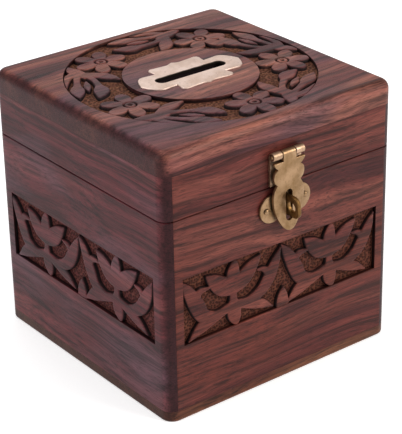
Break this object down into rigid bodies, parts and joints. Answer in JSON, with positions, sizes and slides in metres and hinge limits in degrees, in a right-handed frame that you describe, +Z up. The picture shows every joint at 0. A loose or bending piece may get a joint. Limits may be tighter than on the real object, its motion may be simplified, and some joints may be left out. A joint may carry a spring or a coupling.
{
  "type": "wooden money box",
  "caption": "Square carved rosewood money box with a hinged lid, a brass-lined coin slot in the lid, and a brass hasp that closes over a staple for a padlock.",
  "frame": {"origin": "centre of the underside", "axes": "+Z up, the front with the hasp faces -Y, +X to the right seen from the front"},
  "size_m": [0.1, 0.1117, 0.1004],
  "materials": {
    "front_wood": "satin",
    "side_wood": "satin",
    "top_wood": "satin",
    "brass": "satin",
    "steel": "satin"
  },
  "bodies": {
    "box": {"base_board": "side_wood", "front_wall": "front_wood", "back_wall": "front_wood", "left_wall": "side_wood", "right_wall": "side_wood", "staple_plate": "brass", "staple_eye": "brass", "staple_nail_left": "brass", "staple_nail_right": "brass", "hinge_left_body_leaf": "brass", "hinge_left_pin": "brass", "hinge_left_body_screw_left": "brass", "hinge_left_body_screw_right": "brass", "hinge_right_body_leaf": "brass", "hinge_right_pin": "brass", "hinge_right_body_screw_left": "brass", "hinge_right_body_screw_right": "brass", "base_pin_front_left": "steel", "base_pin_front_right": "steel", "base_pin_back_left": "steel", "base_pin_back_right": "steel", "base_pin_left_left": "steel", "base_pin_left_right": "steel", "base_pin_right_left": "steel", "base_pin_right_right": "steel"},
    "lid": {"lid_front_rail": "front_wood", "lid_back_rail": "front_wood", "lid_left_rail": "side_wood", "lid_right_rail": "side_wood", "lid_top_board": "top_wood", "coin_slot_plate": "brass", "hasp_leaf": "brass", "hasp_leaf_nail_left": "brass", "hasp_leaf_nail_right": "brass", "hasp_pin": "brass", "hinge_left_lid_leaf": "brass", "hinge_left_lid_screw_left": "brass", "hinge_left_lid_screw_right": "brass", "hinge_right_lid_leaf": "brass", "hinge_right_lid_screw_left": "brass", "hinge_right_lid_screw_right": "brass"},
    "hasp": {"hasp_plate": "brass"}
  },
  "joints": [
    {"name": "lid_hinge", "type": "hinge", "parent": "box", "child": "lid", "pos_m": [0, 0.0518, 0.0755], "axis": [-1, 0, 0], "range_deg": [0, 180]},
    {"name": "hasp_hinge", "type": "hinge", "parent": "lid", "child": "hasp", "pos_m": [0.0005, -0.0518, 0.0873], "axis": [-1, 0, 0], "range_deg": [0, 170]}
  ]
}
